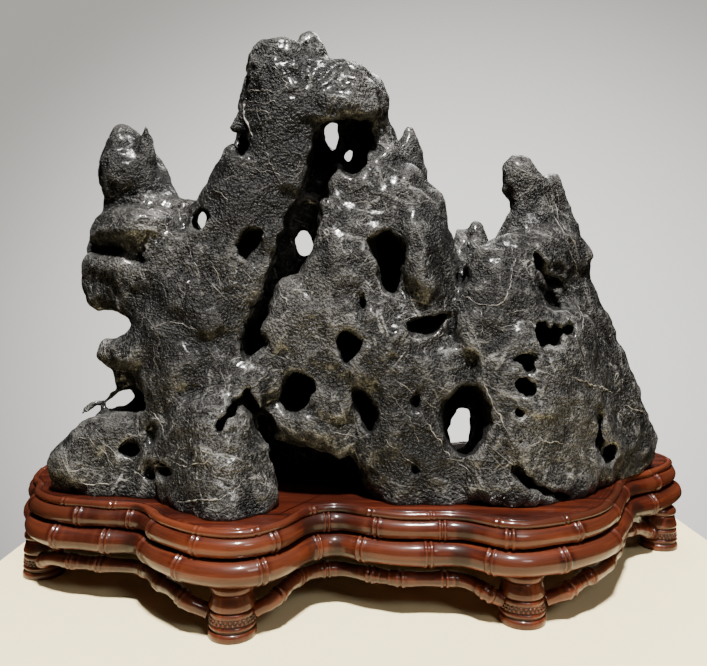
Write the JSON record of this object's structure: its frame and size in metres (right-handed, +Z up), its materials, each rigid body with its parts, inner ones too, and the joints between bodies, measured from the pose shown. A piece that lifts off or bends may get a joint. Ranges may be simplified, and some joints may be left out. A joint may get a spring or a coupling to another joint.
{
  "type": "scholars rock on stand",
  "caption": "Dark limestone scholars rock with three peaks, hollows and worn-through holes, resting on a lobed hardwood stand with bamboo-shaped rails and short turned feet.",
  "frame": {"origin": "on the ground, under the middle of the object's bounding box", "axes": "+X along the rock towards its right peak as seen from the front, the front faces -Y, +Z up"},
  "size_m": [0.6939, 0.3474, 0.5155],
  "materials": {
    "rock": "waxed, worn smooth, with fine pale veins",
    "lacquered_wood": "glossy red-brown lacquer"
  },
  "bodies": {
    "root": {"stone": "rock", "seat_board": "lacquered_wood", "upper_rail": "lacquered_wood", "lower_rail": "lacquered_wood", "foot_front_left": "lacquered_wood", "foot_front_right": "lacquered_wood", "foot_left": "lacquered_wood", "foot_right": "lacquered_wood", "foot_back_left": "lacquered_wood", "foot_back_right": "lacquered_wood", "stem_front": "lacquered_wood", "stem_front_left": "lacquered_wood", "stem_front_right": "lacquered_wood", "stem_back": "lacquered_wood", "stem_back_left": "lacquered_wood", "stem_back_right": "lacquered_wood"}
  },
  "joints": []
}
